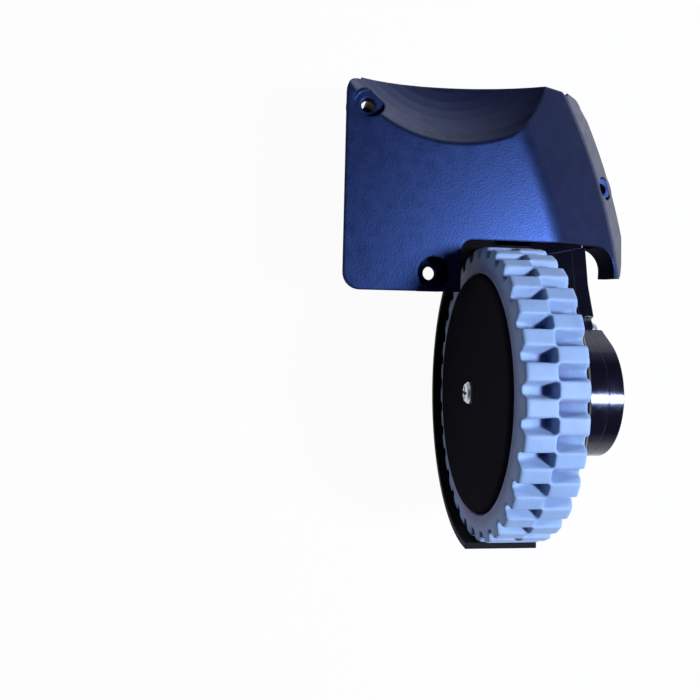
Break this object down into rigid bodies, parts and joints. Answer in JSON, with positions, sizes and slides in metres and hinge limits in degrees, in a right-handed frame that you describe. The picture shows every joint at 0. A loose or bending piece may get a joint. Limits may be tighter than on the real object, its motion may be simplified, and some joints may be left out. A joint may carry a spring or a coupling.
{
  "type": "robot vacuum wheel module",
  "caption": "Sprung drive wheel module of a robot vacuum: lugged wheel and geared motor on a swing arm, hinged under a cover plate with three screw holes and a scooped edge.",
  "frame": {"origin": "on the axis of the front fixing hole, half way along the hole", "axes": "+X from the cover plate towards the wheel, +Y along the wheel's axle from the hub cap to the gearbox, +Z towards the floor that the robot drives on, so that the part lies on its back"},
  "size_m": [0.1081, 0.0739, 0.0684],
  "materials": {
    "plate_plastic": "moulded, fine grain",
    "black_plastic": "moulded, fine grain",
    "gloss_black": "smooth",
    "rubber": "moulded rubber, fine grain",
    "stop_rubber": "moulded",
    "zinc_steel": "zinc plated",
    "bearing_steel": "ground",
    "spring_steel": "drawn wire",
    "motor_steel": "drawn and plated",
    "brass": "turned",
    "gear_plastic": "moulded acetal",
    "cap_plastic": "moulded nylon",
    "board": "solder mask",
    "magnet": "sintered ferrite",
    "copper": "enamelled winding"
  },
  "bodies": {
    "mounting": {"cover_plate": "plate_plastic", "suspension_bracket": "black_plastic", "bracket_screws": "zinc_steel", "swing_bushes": "brass", "torsion_spring": "spring_steel", "bump_stop": "stop_rubber", "drop_switch": "black_plastic"},
    "swing_arm": {"gear_case": "black_plastic", "gear_case_cover": "black_plastic", "case_screws": "zinc_steel", "wheel_arch": "black_plastic", "arch_screws": "zinc_steel", "motor_cover": "black_plastic", "motor_cover_screws": "zinc_steel", "motor_can": "motor_steel", "motor_magnets": "magnet", "motor_end_cap": "cap_plastic", "motor_terminals": "brass", "motor_screws": "zinc_steel", "encoder_board": "board", "board_screws": "zinc_steel", "encoder_socket": "cap_plastic", "gear_pins": "bearing_steel", "inner_bearing": "bearing_steel", "outer_bearing": "bearing_steel"},
    "drive_wheel": {"output_gear": "gear_plastic", "axle": "bearing_steel", "axle_clip": "spring_steel", "wheel_rim": "black_plastic", "tyre": "rubber", "hub_cap": "gloss_black", "hub_screw": "zinc_steel"},
    "motor_rotor": {"motor_shaft": "bearing_steel", "motor_pinion": "brass", "motor_armature": "copper", "encoder_magnet": "magnet"},
    "idler": {"idler_gear": "gear_plastic"},
    "reduction_one": {"reduction_gear_one": "gear_plastic"},
    "reduction_two": {"reduction_gear_two": "gear_plastic"},
    "switch_lever": {"drop_switch_lever": "zinc_steel"}
  },
  "joints": [
    {"name": "arm_swing", "type": "hinge", "parent": "mounting", "child": "swing_arm", "pos_m": [-0.0233, 0.0128, -0.01235], "axis": [0, 1, 0], "range_deg": [0, 30], "stiffness_Nm_per_rad": 0.45, "springref_deg": -57.3, "deforming": ["torsion_spring"]},
    {"name": "wheel_spin", "type": "hinge", "parent": "swing_arm", "child": "drive_wheel", "pos_m": [0.0272, 0.0158, 0.00965], "axis": [0, 1, 0], "continuous": true},
    {"name": "gear_two_spin", "type": "hinge", "parent": "swing_arm", "child": "reduction_two", "pos_m": [0.02, 0.0308, -0.00282], "axis": [0, 1, 0], "continuous": true},
    {"name": "gear_one_spin", "type": "hinge", "parent": "swing_arm", "child": "reduction_one", "pos_m": [0.00675, 0.0278, -0.00845], "axis": [0, 1, 0], "continuous": true},
    {"name": "idler_spin", "type": "hinge", "parent": "swing_arm", "child": "idler", "pos_m": [-0.01192, 0.0268, -0.01296], "axis": [0, 1, 0], "continuous": true},
    {"name": "motor_spin", "type": "hinge", "parent": "swing_arm", "child": "motor_rotor", "pos_m": [-0.0233, 0.0078, -0.01235], "axis": [0, 1, 0], "continuous": true},
    {"name": "lever_swing", "type": "hinge", "parent": "mounting", "child": "switch_lever", "pos_m": [0.002, -0.0102, -0.01535], "axis": [0, 1, 0], "range_deg": [-12, 0]}
  ],
  "couplings": [
    {"joint": "gear_two_spin", "follows": "wheel_spin", "ratio": -3},
    {"joint": "gear_one_spin", "follows": "wheel_spin", "ratio": 9},
    {"joint": "idler_spin", "follows": "wheel_spin", "ratio": -11.571},
    {"joint": "motor_spin", "follows": "wheel_spin", "ratio": 32.4},
    {"joint": "lever_swing", "follows": "arm_swing", "ratio": -0.4}
  ]
}
